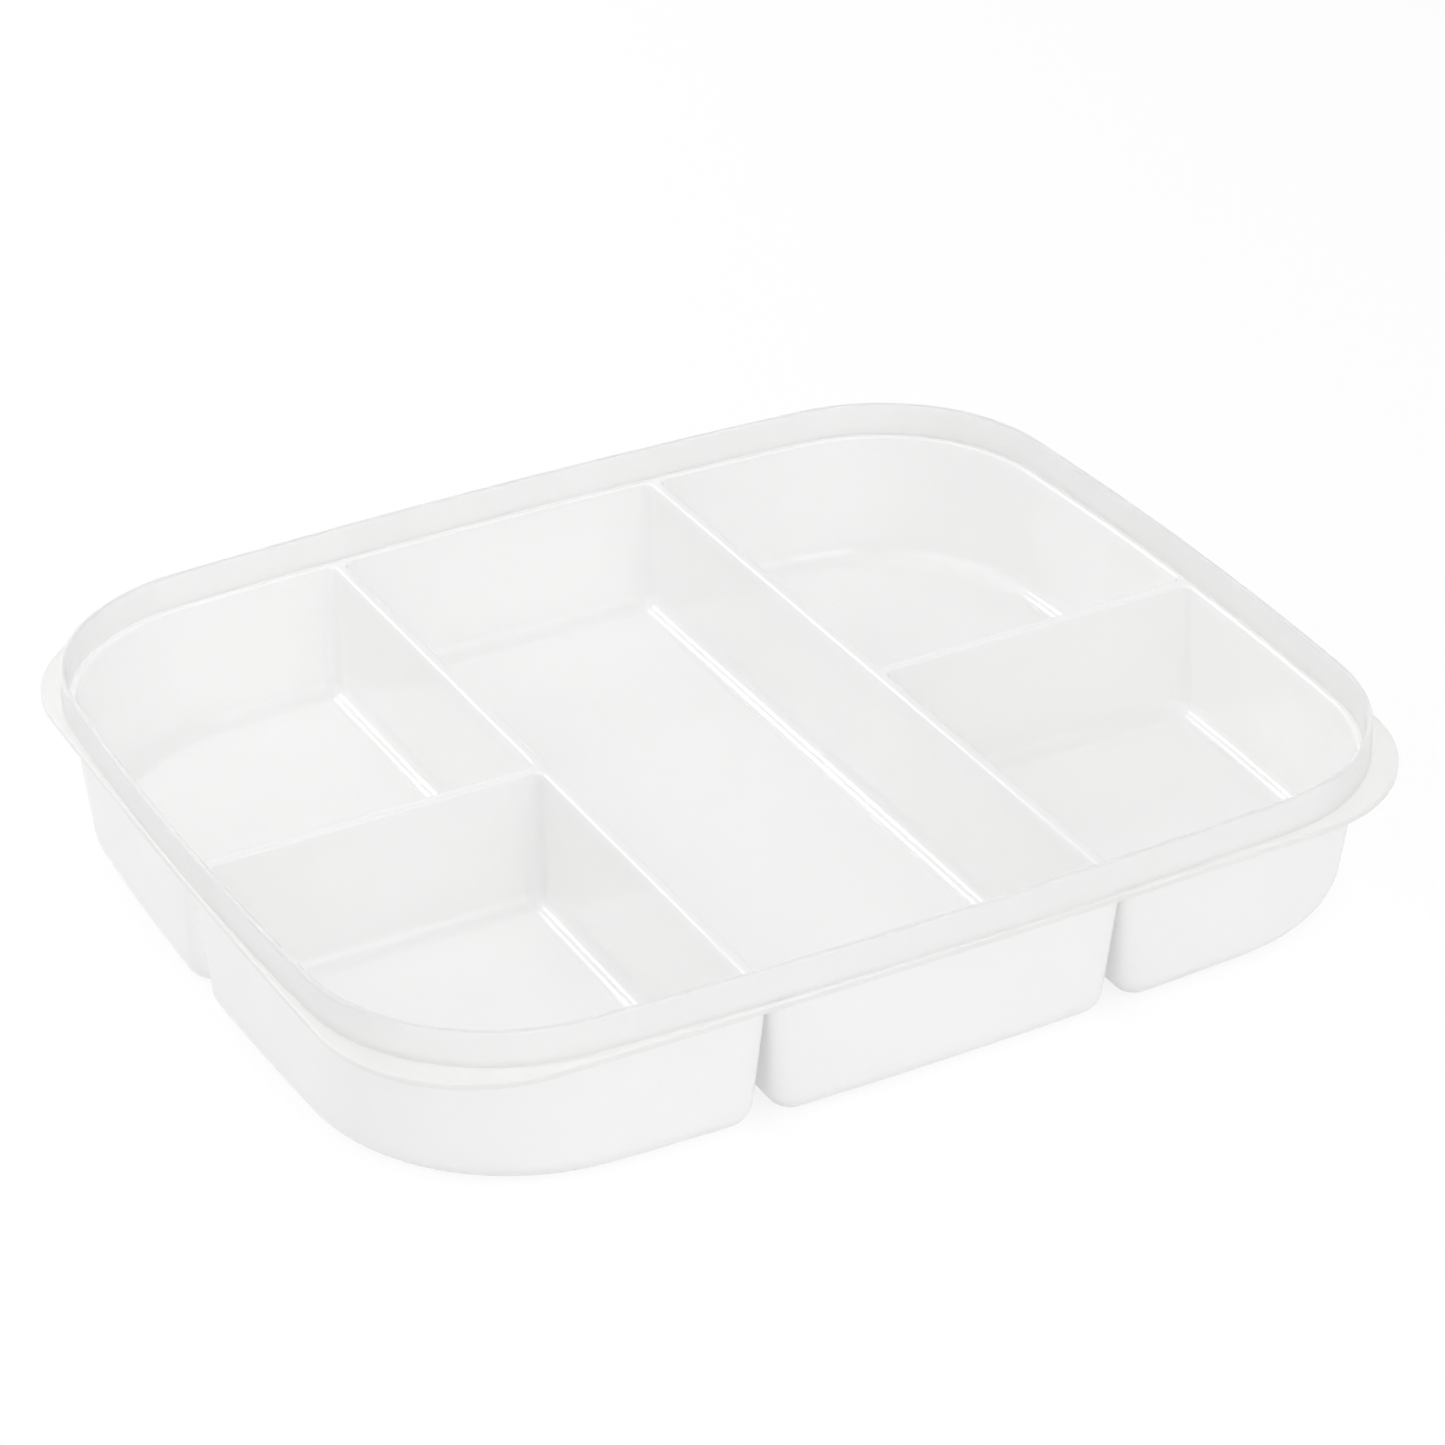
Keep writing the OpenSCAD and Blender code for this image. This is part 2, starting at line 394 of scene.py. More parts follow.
def quarter_turn(rows):
    """Angles from 0 to a right angle, both included."""
    return np.linspace(0, math.pi / 2, rows)


def at_height(ring, height):
    """Gives a flat ring its height, which may be one number or one for each point."""
    return np.column_stack([ring, np.broadcast_to(height, len(ring))])


def floor_rows(edge, level, crown):
    """Rings that shrink towards the floor's middle, and the pole itself. The floor rises by
    crown (1 - share squared) squared, which is level where it meets the fillet."""
    middle = (edge.min(0) + edge.max(0)) / 2
    rows = [at_height(middle + (edge - middle) * s, level + crown * (1 - s * s)**2) for s in FLOOR_SHARES]
    return rows, np.append(middle, level + crown)


def inner_skin(plan, border):
    """Rows from the border on the deck to the floor.
    Edge: inward = -r (1 - sin a), height = top - r (1 - cos a).
    Fillet: inward = r (1 - cos a), height = floor + r (1 - sin a)."""
    def ring(height, inward):
        return at_height(plan(share_down(height), inward), height)

    first = ring(deck_top, -EDGE_RADIUS)
    start = at_height(border, deck_top)
    rows = [start, start + DECK_SHARE * (first - start)]
    rows += [ring(deck_top - EDGE_RADIUS * (1 - math.cos(a)), -EDGE_RADIUS * (1 - math.sin(a)))
             for a in quarter_turn(EDGE_ROWS)]
    foot = wall + FLOOR_RADIUS
    rows += [ring(z, 0) for z in np.linspace(deck_top - EDGE_RADIUS, foot, WALL_ROWS + 2)[1:-1]]
    rows += [ring(wall + FLOOR_RADIUS * (1 - math.sin(a)), FLOOR_RADIUS * (1 - math.cos(a)))
             for a in quarter_turn(FILLET_ROWS)]
    more, pole = floor_rows(rows[-1][:, :2], wall, FLOOR_CROWN)
    return np.array(rows + more), pole


def outer_skin(plan, border):
    """Rows from the border under the deck to the base. The hollow under the deck is a quarter of an ellipse
    between border and wall: place = border + (wall - border) sin a, height = wall top + r cos a."""
    def ring(height, inward):
        return at_height(plan(share_down(height), inward), height)

    top = ring(deck_low - UNDER_RADIUS, -wall)
    edge = at_height(border, deck_low)
    rows = []
    for a in quarter_turn(UNDER_ROWS):
        row = edge + (top - edge) * math.sin(a)
        row[:, 2] = deck_low - UNDER_RADIUS * (1 - math.cos(a))
        rows.append(row)
    radius = FLOOR_RADIUS + wall
    rows += [ring(z, -wall) for z in np.linspace(deck_low - UNDER_RADIUS, radius, WALL_ROWS + 2)[1:-1]]
    rows += [ring(radius * (1 - math.sin(a)), radius * (1 - math.cos(a)) - wall)
             for a in quarter_turn(FILLET_ROWS)]
    more, pole = floor_rows(rows[-1][:, :2], 0, FLOOR_CROWN)
    return np.array(rows + more), pole


# %% [markdown]
# ## The collar and the flange
#
# Outside the cells the section is the same all the way round: a small fillet at the collar's inner foot, the
# collar with a fully rounded top, another fillet and the flange. Only the flange's width changes. Its own
# outline has tighter corners than the rim, so it sticks out as a lift tab at each corner. The width is found
# by sending a ray from each point of the rim, along its outward direction, to the arcs of the flange.

# %% How wide the flange is
def exit_distance(point, normal, centre, radius):
    """How far along a unit direction a point inside a circle lies from it: -b + root(b squared - c), with
    b = (point - centre) . direction and c = |point - centre| squared - radius squared."""
    offset = point - centre
    b = (offset * normal).sum(1)
    c = (offset * offset).sum(1) - radius**2
    return -b + np.sqrt(np.maximum(b * b - c, 0))


def flange_width(foot):
    """From the rim to the flange's edge: the nearer of its two side arcs, or its corner arc where the ray
    ends between the corner's first and last angle."""
    back, right, corner = centres(FLANGE)
    low, high = direction(right, corner), direction(back, corner)
    point = foot_points(foot, 0)
    sides = np.minimum(exit_distance(point, foot.normal, back, FLANGE.front),
                       exit_distance(point, foot.normal, right, FLANGE.side))
    around = exit_distance(point, foot.normal, corner, FLANGE.corner)
    hit = point + around[:, None] * foot.normal - corner
    angle = np.arctan2(hit[:, 1], hit[:, 0])
    return np.where((angle > low) & (angle < high), around, sides)


# %% Rows of the section
RIM_ROWS = 13
FOOT_ROWS = 6
COLLAR_ROWS = 4
FLANGE_ROWS = 4


def section(foot):
    """Rows from the inner foot of the collar, over the rim and round the flange to the tub's outer wall. Each
    row is a distance inwards from the rim and a height. On a rounding of radius r, going round by the angle a
    moves r sin a along the first side and r (1 - cos a) along the second."""
    width = flange_width(foot)
    rows = []
    for a in quarter_turn(FOOT_ROWS):
        inwards = COLLAR_WALL + FOOT_RADIUS * (1 - math.sin(a))
        rows.append((inwards, deck_top + FOOT_RADIUS * (1 - math.cos(a))))
    half = COLLAR_WALL / 2
    for z in np.linspace(deck_top + FOOT_RADIUS, rim_top - half, COLLAR_ROWS + 2)[1:-1]:
        rows.append((COLLAR_WALL, z))
    for a in np.linspace(0, math.pi, RIM_ROWS):
        rows.append((half + half * math.cos(a), rim_top - half + half * math.sin(a)))
    for z in np.linspace(rim_top - half, deck_top + OUTER_FOOT_RADIUS, COLLAR_ROWS + 2)[1:-1]:
        rows.append((0, z))
    for a in quarter_turn(FOOT_ROWS):
        inwards = -OUTER_FOOT_RADIUS * (1 - math.cos(a))
        rows.append((inwards, deck_top + OUTER_FOOT_RADIUS * (1 - math.sin(a))))
    flat = width - FLANGE_EDGE_RADIUS
    for s in np.linspace(0, 1, FLANGE_ROWS)[1:-1]:
        rows.append((-OUTER_FOOT_RADIUS - (flat - OUTER_FOOT_RADIUS) * s, deck_top))
    for a in quarter_turn(FOOT_ROWS):
        inwards = -flat - FLANGE_EDGE_RADIUS * math.sin(a)
        rows.append((inwards, deck_top - FLANGE_EDGE_RADIUS * (1 - math.cos(a))))
    for a in quarter_turn(FOOT_ROWS):
        inwards = -flat - FLANGE_EDGE_RADIUS * math.cos(a)
        rows.append((inwards, deck_low + FLANGE_EDGE_RADIUS * (1 - math.sin(a))))
    under = opening_inset - wall - UNDER_RADIUS
    for s in np.linspace(0, 1, FLANGE_ROWS)[1:]:
        rows.append((-flat + (under + flat) * s, deck_low))
    return np.array([at_height(foot_points(foot, d), z) for d, z in rows])


# %% [markdown]
# ## One closed mesh
#
# Each patch is a table of points, so its faces are the squares between neighbouring rows and columns. Cells
# on the left and in front are mirrored, which turns their faces round, so their squares are listed the other
# way. A patch also says which of the four finishes it gets. The collar and the flange share a row of points,
# so cutting the section in two there leaves no gap.

# %% Patches
patches = []


def squares(rows, columns, closed):
    """Corner numbers of the squares of a table, column by column, with the last column joined to the first if
    the rings are closed."""
    r = np.arange(rows - 1)[:, None]
    c = np.arange(columns if closed else columns - 1)[None, :]
    d = (c + 1) % columns
    return np.stack([r * columns + c, r * columns + d, (r + 1) * columns + d, (r + 1) * columns + c],
                    -1).reshape(-1, 4)


def add_patch(points, pole, sign_x, sign_y, turned, finish):
    """Keeps a patch. Its faces look up as listed, or down if turned, and a mirrored one is turned once
    more."""
    rows, columns = points.shape[:2]
    faces = squares(rows, columns, closed=pole is not None)
    flat = points.reshape(-1, 3)
    fan = np.empty((0, 3), int)
    if pole is not None:
        last = np.arange((rows - 1) * columns, rows * columns)
        fan = np.stack([last, np.roll(last, -1), np.full(columns, len(flat))], 1)
        flat = np.concatenate([flat, pole[None]])
    if (sign_x * sign_y < 0) != turned:
        faces, fan = faces[:, ::-1], fan[:, ::-1]
    patches.append((flat * [sign_x, sign_y, 1], faces, fan, finish))


INSIDE, OUTSIDE, COLLAR_PART, FLANGE_PART = 0, 1, 2, 3
collar_rows = 2 * FOOT_ROWS + 2 * COLLAR_ROWS + RIM_ROWS
upper_foot = COLLAR_WALL + FOOT_RADIUS
under_foot = opening_inset - wall - UNDER_RADIUS

for sign_x in (1, -1):
    for sign_y in (1, -1):
        border_y = cross_y * sign_y
        plan = partial(corner_ring, border_y)
        add_patch(*inner_skin(plan, corner_border(border_y, upper_foot)), sign_x, sign_y, False, INSIDE)
        add_patch(*outer_skin(plan, corner_border(border_y, under_foot)), sign_x, sign_y, True, OUTSIDE)
        around = section(corner_foot(border_y))
        add_patch(around[:collar_rows], None, sign_x, sign_y, True, COLLAR_PART)
        add_patch(around[collar_rows - 1:], None, sign_x, sign_y, True, FLANGE_PART)
add_patch(*inner_skin(centre_ring, centre_border(upper_foot)), 1, 1, False, INSIDE)
add_patch(*outer_skin(centre_ring, centre_border(under_foot)), 1, 1, True, OUTSIDE)
around = section(centre_foot())
for sign_y in (1, -1):
    add_patch(around[:collar_rows], None, 1, sign_y, True, COLLAR_PART)
    add_patch(around[collar_rows - 1:], None, 1, sign_y, True, FLANGE_PART)
print("patches:", len(patches))

# %% Merge the patches into one mesh
MERGE_DISTANCE = 0.002 * MM


def joined(parts):
    """All points, all faces with their numbers moved on, and the finish of each face."""
    starts = np.cumsum([0] + [len(p[0]) for p in parts])
    points = np.concatenate([p[0] for p in parts])
    faces, finish = [], []
    for start, (_, quads, fan, kind) in zip(starts, parts):
        faces += (quads + start).tolist() + (fan + start).tolist()
        finish += [kind] * (len(quads) + len(fan))
    return points, faces, finish


points, faces, finish = joined(patches)
mesh = bpy.data.meshes.new("tray")
mesh.from_pydata(points, [], faces)
mesh.polygons.foreach_set("material_index", finish)
mesh.polygons.foreach_set("use_smooth", np.ones(len(faces), bool))

work = bmesh.new()
work.from_mesh(mesh)
bmesh.ops.remove_doubles(work, verts=work.verts, dist=MERGE_DISTANCE)
open_edges = sum(1 for edge in work.edges if len(edge.link_faces) != 2)
bmesh.ops.recalc_face_normals(work, faces=work.faces)
volume = work.calc_volume(signed=True)
work.to_mesh(mesh)
work.free()
tray = bpy.data.objects.new("tray", mesh)
bpy.context.scene.collection.objects.link(tray)
triangles = sum(len(p.vertices) - 2 for p in mesh.polygons)
print("open edges:", open_edges, "- volume:", round(volume / MM**3), "mm3 - triangles:", triangles)


# %% Put the tray on the frame
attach(tray, "root")
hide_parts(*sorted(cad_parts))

# %% [markdown]
# ## The plastic
#
# Natural polypropylene is milky: most of the light that enters a wall scatters inside it, and some goes
# straight on, blurred by the satin surface. It could be a glass with a fog inside, but a wall 1 mm thick
# needs many bounces for that and stays noisy. So the shader is subsurface scattering with a small share of
# rough transmission, each set by one plain number. The inside was cooled against the polished half of the
# mould and the outside against the blasted half. The collar and the flange are a little clearer.
#
# The surface isn't perfectly even: the mould leaves a fine grain, and the melt leaves slow flow marks where
# it ran. Both are noise, at very different scales, and a group node keeps them together for every finish.

# %% A helper for node trees
def add_node(tree, kind, **values):
    """Adds a node and sets its sockets and settings by name."""
    node = tree.nodes.new(kind)
    for name, value in values.items():
        if name in node.inputs:
            node.inputs[name].default_value = value
        else:
            setattr(node, name, value)
    return node


def new_group(name, inputs, outputs):
    """An empty shader node group with named float inputs, each with a value to start from, and named
    outputs."""
    group = bpy.data.node_groups.new(name, "ShaderNodeTree")
    group.interface.new_socket("Vector", in_out="INPUT", socket_type="NodeSocketVector")
    for socket, value in inputs.items():
        item = group.interface.new_socket(socket, in_out="INPUT", socket_type="NodeSocketFloat")
        item.default_value = value
    for socket in outputs:
        group.interface.new_socket(socket, in_out="OUTPUT", socket_type="NodeSocketFloat")
    return group, group.nodes.new("NodeGroupInput"), group.nodes.new("NodeGroupOutput")


# %% Moulded grain
def moulded_grain():
    """Height and mask of a moulded surface: fine grain times its depth, plus slow flow marks times theirs."""
    tree, start, end = new_group("moulded_grain", {"Grain Scale": 900.0, "Grain Depth": 0.5,
                                                   "Flow Scale": 30.0, "Flow Depth": 0.5},
                                 ["Height", "Mask"])
    link = tree.links.new
    grain = add_node(tree, "ShaderNodeTexNoise", Detail=3.0, Roughness=0.6)
    flow = add_node(tree, "ShaderNodeTexNoise", Detail=2.0, Roughness=0.45)
    fine = add_node(tree, "ShaderNodeMath", operation="MULTIPLY")
    slow = add_node(tree, "ShaderNodeMath", operation="MULTIPLY_ADD")
    link(start.outputs["Vector"], grain.inputs["Vector"])
    link(start.outputs["Vector"], flow.inputs["Vector"])
    link(start.outputs["Grain Scale"], grain.inputs["Scale"])
    link(start.outputs["Flow Scale"], flow.inputs["Scale"])
    link(grain.outputs["Fac"], fine.inputs[0])
    link(start.outputs["Grain Depth"], fine.inputs[1])
    link(flow.outputs["Fac"], slow.inputs[0])
    link(start.outputs["Flow Depth"], slow.inputs[1])
    link(fine.outputs[0], slow.inputs[2])
    link(slow.outputs[0], end.inputs["Height"])
    link(flow.outputs["Fac"], end.inputs["Mask"])
    return tree


GRAIN = moulded_grain()


# %% [markdown]
# ## Clouds, scuffs and rubbing
#
# Unpigmented plastic is never one even colour: where it cooled slowly it is a trace greyer and warmer. A
# tray that is stacked, wiped and carried gets hairline scuffs, and its rim and feet are rubbed, because they
# are what touches the table and the next tray. All three are group nodes that give a mask, so that each
# finish can decide how much of it to show.

# %% Clouds in the plastic
def milky_clouds():
    """Mask = Map Range of a slow noise with some detail, from its usual span to 0 and 1."""
    tree, start, end = new_group("milky_clouds", {"Cloud Scale": 22.0}, ["Mask"])
    noise = add_node(tree, "ShaderNodeTexNoise", Detail=4.0, Roughness=0.55, Distortion=0.4)
    spread = add_node(tree, "ShaderNodeMapRange")
    spread.inputs["From Min"].default_value = 0.3
    spread.inputs["From Max"].default_value = 0.7
    tree.links.new(start.outputs["Vector"], noise.inputs["Vector"])
    tree.links.new(start.outputs["Cloud Scale"], noise.inputs["Scale"])
    tree.links.new(noise.outputs["Fac"], spread.inputs["Value"])
    tree.links.new(spread.outputs["Result"], end.inputs["Mask"])
    return tree


CLOUDS = milky_clouds()


# %% Hairline scuffs
SCUFF_TURNS = (0.5, -0.75)
SCUFF_STRETCH = (1, 0.05, 1)


def hairline_scuffs():
    """Mask = the larger of two noises, each stretched along one direction and cut so that only its peaks
    stay."""
    tree, start, end = new_group("hairline_scuffs", {"Scuff Scale": 420.0}, ["Mask"])
    larger = add_node(tree, "ShaderNodeMath", operation="MAXIMUM")
    for slot, turn in enumerate(SCUFF_TURNS):
        stretch = add_node(tree, "ShaderNodeMapping", Rotation=(0, 0, turn), Scale=SCUFF_STRETCH)
        noise = add_node(tree, "ShaderNodeTexNoise", Detail=2.0, Roughness=0.5)
        peaks = add_node(tree, "ShaderNodeMapRange")
        peaks.inputs["From Min"].default_value = 0.62
        peaks.inputs["From Max"].default_value = 0.7
        tree.links.new(start.outputs["Vector"], stretch.inputs["Vector"])
        tree.links.new(stretch.outputs["Vector"], noise.inputs["Vector"])
        tree.links.new(start.outputs["Scuff Scale"], noise.inputs["Scale"])
        tree.links.new(noise.outputs["Fac"], peaks.inputs["Value"])
        tree.links.new(peaks.outputs["Result"], larger.inputs[slot])
    tree.links.new(larger.outputs[0], end.inputs["Mask"])
    return tree


SCUFFS = hairline_scuffs()


# %% Rubbed rim and feet
def rubbed_edges():
    """Mask = noise times the larger of two ramps in height, one down to the base and one up to the top of
    the rim."""
    starts = {"Foot Height": 0.9 * MM, "Rim Height": rim_top - 0.7 * MM}
    tree, start, end = new_group("rubbed_edges", starts, ["Mask"])
    height = add_node(tree, "ShaderNodeSeparateXYZ")
    foot = add_node(tree, "ShaderNodeMapRange")
    foot.inputs["From Max"].default_value = 0
    rim = add_node(tree, "ShaderNodeMapRange")
    rim.inputs["From Max"].default_value = rim_top
    either = add_node(tree, "ShaderNodeMath", operation="MAXIMUM")
    patchy = add_node(tree, "ShaderNodeTexNoise", Scale=160.0, Detail=3.0)
    both = add_node(tree, "ShaderNodeMath", operation="MULTIPLY")
    tree.links.new(start.outputs["Vector"], height.inputs[0])
    tree.links.new(start.outputs["Vector"], patchy.inputs["Vector"])
    tree.links.new(height.outputs["Z"], foot.inputs["Value"])
    tree.links.new(height.outputs["Z"], rim.inputs["Value"])
    tree.links.new(start.outputs["Foot Height"], foot.inputs["From Min"])
    tree.links.new(start.outputs["Rim Height"], rim.inputs["From Min"])
    tree.links.new(foot.outputs["Result"], either.inputs[0])
    tree.links.new(rim.outputs["Result"], either.inputs[1])
    tree.links.new(either.outputs[0], both.inputs[0])
    tree.links.new(patchy.outputs["Fac"], both.inputs[1])
    tree.links.new(both.outputs[0], end.inputs["Mask"])
    return tree


RUBBING = rubbed_edges()

# %% [markdown]
# ## Four finishes of one plastic
#
# The colour runs between two tones by the cloud mask. The flange has tones of its own, a little lower: this
# is painted shade, the same plastic darkened because a thin plate scatters less light back than a tub that is
# lit from both sides. Roughness is the flow mask's range plus what scuffs and rubbing add. The bump takes the
# grain, the flow marks and the scuffs, which are cut in.
#
# Light that goes through several walls would take many bounces to trace, and without it the corners and the
# narrow gaps between the tubs look too dark. So a Mix Shader, switched by Light Path's Is Shadow Ray, lets
# lamps shine through each skin with a small loss.

# %% The tones, and how light goes in
PLASTIC_COLOUR = (0.985, 0.985, 0.985, 1)
CLOUDED_COLOUR = (0.972, 0.97, 0.961, 1)
# The flange's two tones are painted shade: the same plastic, darker because a thin plate sends less light
# back.
FLANGE_PAINTED_SHADE_COLOUR = (0.915, 0.915, 0.908, 1)
CLOUDED_FLANGE_PAINTED_SHADE = (0.895, 0.893, 0.88, 1)
LIGHT_PASSED = (0.94, 0.94, 0.94, 1)
PLASTIC_IOR = 1.49
SCATTER_DEPTH = 1 * MM
SCATTER_SHARES = (1.0, 1.0, 1.0)
BUMP_HEIGHT = 0.2 * MM
SCUFF_DEPTH = 0.25


# %% Where the patterns come from
def patterned(tree, group, **values):
    """A group node fed with Object coordinates, which on this piece are the frame's own."""
    place = add_node(tree, "ShaderNodeTexCoord")
    node = add_node(tree, "ShaderNodeGroup", node_tree=group)
    for name, value in values.items():
        node.inputs[name.replace("_", " ")].default_value = value
    tree.links.new(place.outputs["Object"], node.inputs["Vector"])
    return node


def added(tree, start, mask, share):
    """start + mask times share, as one Multiply Add node."""
    node = add_node(tree, "ShaderNodeMath", operation="MULTIPLY_ADD")
    node.inputs[1].default_value = share
    tree.links.new(mask, node.inputs[0])
    tree.links.new(start, node.inputs[2])
    return node.outputs[0]


# %% A finish
def plastic(name, tones, clear, rough, spread, grain_depth, flow_depth, bump, scuff, rub):
    """Milky plastic that lets the share clear straight through. Roughness = rough plus or minus spread by
    the flow mask, plus scuff and rub times their masks. Height = grain and flow marks minus the scuffs."""
    material = bpy.data.materials.new(name)
    material.use_nodes = True
    tree = material.node_tree
    tree.nodes.clear()
    link = tree.links.new
    grain = patterned(tree, GRAIN, Grain_Depth=grain_depth, Flow_Depth=flow_depth)
    clouds = patterned(tree, CLOUDS)
    scuffs = patterned(tree, SCUFFS)
    rubbing = patterned(tree, RUBBING)

    # A Mix node that is set to colours has its factor at 0, its two colours at 6 and 7 and its result at 2
    tone = add_node(tree, "ShaderNodeMix", data_type="RGBA")
    tone.inputs[6].default_value, tone.inputs[7].default_value = tones
    link(clouds.outputs["Mask"], tone.inputs[0])

    rough_map = add_node(tree, "ShaderNodeMapRange")
    rough_map.inputs["To Min"].default_value = rough - spread
    rough_map.inputs["To Max"].default_value = rough + spread
    link(grain.outputs["Mask"], rough_map.inputs["Value"])
    scuffed = added(tree, rough_map.outputs["Result"], scuffs.outputs["Mask"], scuff)
    rubbed = added(tree, scuffed, rubbing.outputs["Mask"], rub)

    height = added(tree, grain.outputs["Height"], scuffs.outputs["Mask"], -SCUFF_DEPTH)
    bumps = add_node(tree, "ShaderNodeBump", Strength=bump, Distance=BUMP_HEIGHT)
    link(height, bumps.inputs["Height"])

    shader = add_node(tree, "ShaderNodeBsdfPrincipled")
    shader.inputs["IOR"].default_value = PLASTIC_IOR
    shader.inputs["Transmission Weight"].default_value = clear
    shader.inputs["Subsurface Weight"].default_value = 1.0
    shader.inputs["Subsurface Radius"].default_value = SCATTER_SHARES
    shader.inputs["Subsurface Scale"].default_value = SCATTER_DEPTH
    link(tone.outputs[2], shader.inputs["Base Color"])
    link(rubbed, shader.inputs["Roughness"])
    link(bumps.outputs["Normal"], shader.inputs["Normal"])

    path = add_node(tree, "ShaderNodeLightPath")
    passed = add_node(tree, "ShaderNodeBsdfTransparent", Color=LIGHT_PASSED)
    mix = add_node(tree, "ShaderNodeMixShader")
    out = add_node(tree, "ShaderNodeOutputMaterial")
    link(path.outputs["Is Shadow Ray"], mix.inputs["Fac"])
    link(shader.outputs["BSDF"], mix.inputs[1])
    link(passed.outputs["BSDF"], mix.inputs[2])
    link(mix.outputs["Shader"], out.inputs["Surface"])
    print("finish:", name, "- clear share", clear, "- roughness about", rough)
    return material


# %% The four finishes on the tray
MILKY = (PLASTIC_COLOUR, CLOUDED_COLOUR)
# The flange's tones, darkened as painted shade.
THIN_PAINTED_SHADE = (FLANGE_PAINTED_SHADE_COLOUR, CLOUDED_FLANGE_PAINTED_SHADE)
finishes = [
    plastic("tray_inside", MILKY, clear=0.15, rough=0.15, spread=0.04,
            grain_depth=0.3, flow_depth=0.25, bump=0.12, scuff=0.03, rub=0.0),
    plastic("tray_outside", MILKY, clear=0.15, rough=0.38, spread=0.08,
            grain_depth=0.6, flow_depth=0.6, bump=0.15, scuff=0.08, rub=0.15),
    plastic("tray_rim", MILKY, clear=0.4, rough=0.35, spread=0.06,
            grain_depth=0.5, flow_depth=0.6, bump=0.12, scuff=0.06, rub=0.15),
    # The flange's finish carries the painted shade of its darker tones.
    plastic("tray_flange_painted_shade", THIN_PAINTED_SHADE, clear=0.3, rough=0.35, spread=0.06,
            grain_depth=0.5, flow_depth=0.6, bump=0.12, scuff=0.06, rub=0.0),
]
for finish_material in finishes:
    tray.data.materials.append(finish_material)

# %% [markdown]
# ## Floor, light and camera
#
# The tray stands on a white floor in a white room. Light Path tells rays that come from the camera, from a
# reflection or through plastic apart from those that carry light: the first see white, the others see the
# real, weaker surroundings, so that the tray isn't flooded.

# %% White surroundings
ROOM_LIGHT = 0.755
FLOOR_SIZE = 6.0
FLOOR_GAP = 0.02 * MM
FLOOR_COLOUR = (0.86, 0.86, 0.86, 1)
WHITE = (1, 1, 1, 1)
SHADOW_SHARE = 0.3


def seen_directly(tree):
    """1 for rays from the camera, from a mirror or through glass, 0 for rays that carry light."""
    path = add_node(tree, "ShaderNodeLightPath")
    first = add_node(tree, "ShaderNodeMath", operation="MAXIMUM")
    second = add_node(tree, "ShaderNodeMath", operation="MAXIMUM")
    tree.links.new(path.outputs["Is Camera Ray"], first.inputs[0])
    tree.links.new(path.outputs["Is Glossy Ray"], first.inputs[1])
    tree.links.new(first.outputs[0], second.inputs[0])
    tree.links.new(path.outputs["Is Transmission Ray"], second.inputs[1])
    return second.outputs[0]


def white_room():
    """A world that lights at ROOM_LIGHT and looks white."""
    world = bpy.data.worlds.new("white_room")
    bpy.context.scene.world = world
    world.use_nodes = True
    tree = world.node_tree
    tree.nodes.clear()
    lit = add_node(tree, "ShaderNodeBackground", Color=WHITE, Strength=ROOM_LIGHT)
    seen = add_node(tree, "ShaderNodeBackground", Color=WHITE, Strength=1.0)
    mix = add_node(tree, "ShaderNodeMixShader")
    out = add_node(tree, "ShaderNodeOutputWorld")
    tree.links.new(seen_directly(tree), mix.inputs["Fac"])
    tree.links.new(lit.outputs[0], mix.inputs[1])
    tree.links.new(seen.outputs[0], mix.inputs[2])
    tree.links.new(mix.outputs[0], out.inputs["Surface"])


white_room()


# %% The floor
def floor_material():
    """Diffuse for light. For the eye it is white glow with SHADOW_SHARE of white diffuse mixed in, so that a
    soft shadow stays."""
    material = bpy.data.materials.new("floor")
    material.use_nodes = True
    tree = material.node_tree
    tree.nodes.clear()
    base = add_node(tree, "ShaderNodeBsdfDiffuse", Color=FLOOR_COLOUR)
    shade = add_node(tree, "ShaderNodeBsdfDiffuse", Color=WHITE)
    glow = add_node(tree, "ShaderNodeEmission", Color=WHITE, Strength=1.0)
    soft = add_node(tree, "ShaderNodeMixShader", Fac=SHADOW_SHARE)
    mix = add_node(tree, "ShaderNodeMixShader")
    out = add_node(tree, "ShaderNodeOutputMaterial")
    tree.links.new(glow.outputs[0], soft.inputs[1])
    tree.links.new(shade.outputs[0], soft.inputs[2])
    tree.links.new(seen_directly(tree), mix.inputs["Fac"])
    tree.links.new(base.outputs[0], mix.inputs[1])
    tree.links.new(soft.outputs[0], mix.inputs[2])
    tree.links.new(mix.outputs[0], out.inputs["Surface"])
    return material


half = FLOOR_SIZE / 2
floor_mesh = bpy.data.meshes.new("floor")
floor_corners = [(-half, -half, 0), (half, -half, 0), (half, half, 0), (-half, half, 0)]
floor_mesh.from_pydata(floor_corners, [], [(0, 1, 2, 3)])
floor = bpy.data.objects.new("floor", floor_mesh)
floor.location.z = cad_box[0][2] - FLOOR_GAP
bpy.context.scene.collection.objects.link(floor)
floor.data.materials.append(floor_material())


# %% [markdown]
# Four soft lamps add shape to the room's even light. The key and the back lamp are small and stand behind the
# tray, so each shows as a thin bright line where a wall turns into a floor. The front and the left lamp are
# wide, so they spread their light evenly over the walls that face them. All are weak, because pale plastic
# soon clips to white.

# %% Soft lamps
def soft_lamp(name, toward, distance, size, power):
    """A square lamp in a direction from the tray, turned to face it. Distance and size are in metres, and the
    power is in watts."""
    data = bpy.data.lights.new(name, "AREA")
    data.shape = "SQUARE"
    data.size = size
    data.energy = power
    lamp = bpy.data.objects.new(name, data)
    away = Vector(toward).normalized()
    lamp.location = away * distance
    lamp.rotation_euler = away.to_track_quat("Z", "Y").to_euler()
    bpy.context.scene.collection.objects.link(lamp)


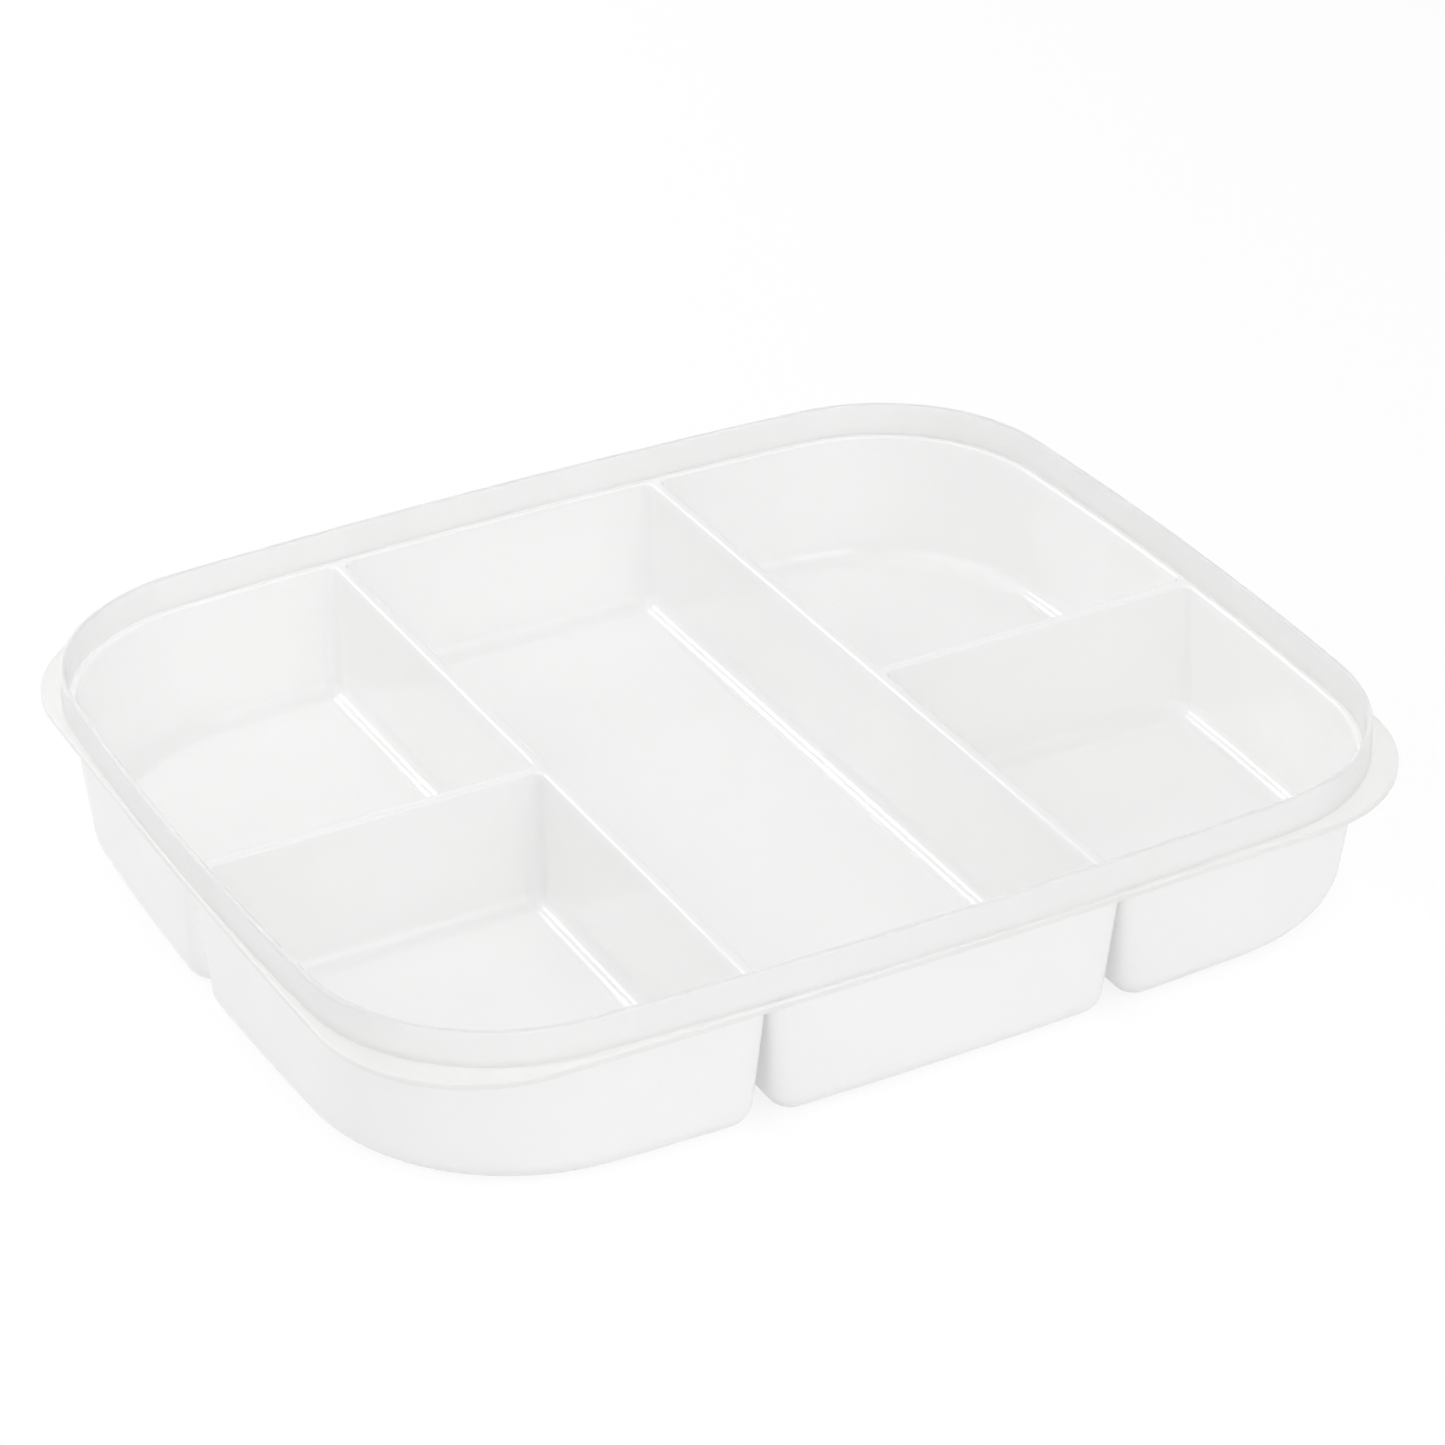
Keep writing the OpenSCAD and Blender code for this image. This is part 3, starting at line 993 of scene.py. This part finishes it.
soft_lamp("key", (-0.45, 0.764, 0.45), distance=1.2, size=0.18, power=1.45)
soft_lamp("back", (-0.1, 0.764, 0.637), distance=1.2, size=0.25, power=1.0)
soft_lamp("front", (0.1, -0.85, 0.5), distance=1.4, size=0.8, power=3.4)
soft_lamp("left", (-0.8, -0.15, 0.6), distance=1.4, size=0.8, power=2.6)

# %% [markdown]
# The camera looks down at the tray from the front left with a long lens. Its place is worked out from the
# direction of view, the distance to the middle of the rim, and where that middle lies in the picture. The
# picture is PICTURE pixels wide and high, and the focal length and that middle are counted in its pixels.

# %% The camera
PICTURE = 1445
SENSOR = 36
FOCAL_PIXELS = 4601
AZIMUTH = math.radians(-27.80)
ELEVATION = math.radians(30.24)
ROLL = math.radians(-1.21)
RIM_CENTRE_X = 707.1
RIM_CENTRE_Y = 680.4
DISTANCE = 861.83 * MM

right = Vector((math.cos(AZIMUTH), math.sin(AZIMUTH), 0))
away = Vector((math.sin(AZIMUTH) * math.cos(ELEVATION), -math.cos(AZIMUTH) * math.cos(ELEVATION),
               math.sin(ELEVATION)))
up = away.cross(right)
shift_right = (RIM_CENTRE_X - PICTURE / 2) / FOCAL_PIXELS * DISTANCE
shift_up = (PICTURE / 2 - RIM_CENTRE_Y) / FOCAL_PIXELS * DISTANCE
view_right = math.cos(ROLL) * right + math.sin(ROLL) * up
view_up = math.cos(ROLL) * up - math.sin(ROLL) * right

camera_data = bpy.data.cameras.new("camera")
camera_data.sensor_fit = "HORIZONTAL"
camera_data.sensor_width = SENSOR
camera_data.lens = SENSOR * FOCAL_PIXELS / PICTURE
camera_data.clip_end = 20
camera = bpy.data.objects.new("camera", camera_data)
place = Vector((0, 0, rim_top)) + DISTANCE * away - shift_right * right - shift_up * up
camera.matrix_world = Matrix.Translation(place) @ Matrix((view_right, view_up, away)).transposed().to_4x4()
bpy.context.scene.collection.objects.link(camera)
bpy.context.scene.camera = camera
bpy.context.scene.view_settings.view_transform = "Standard"
print("lens:", round(camera_data.lens, 1), "mm")
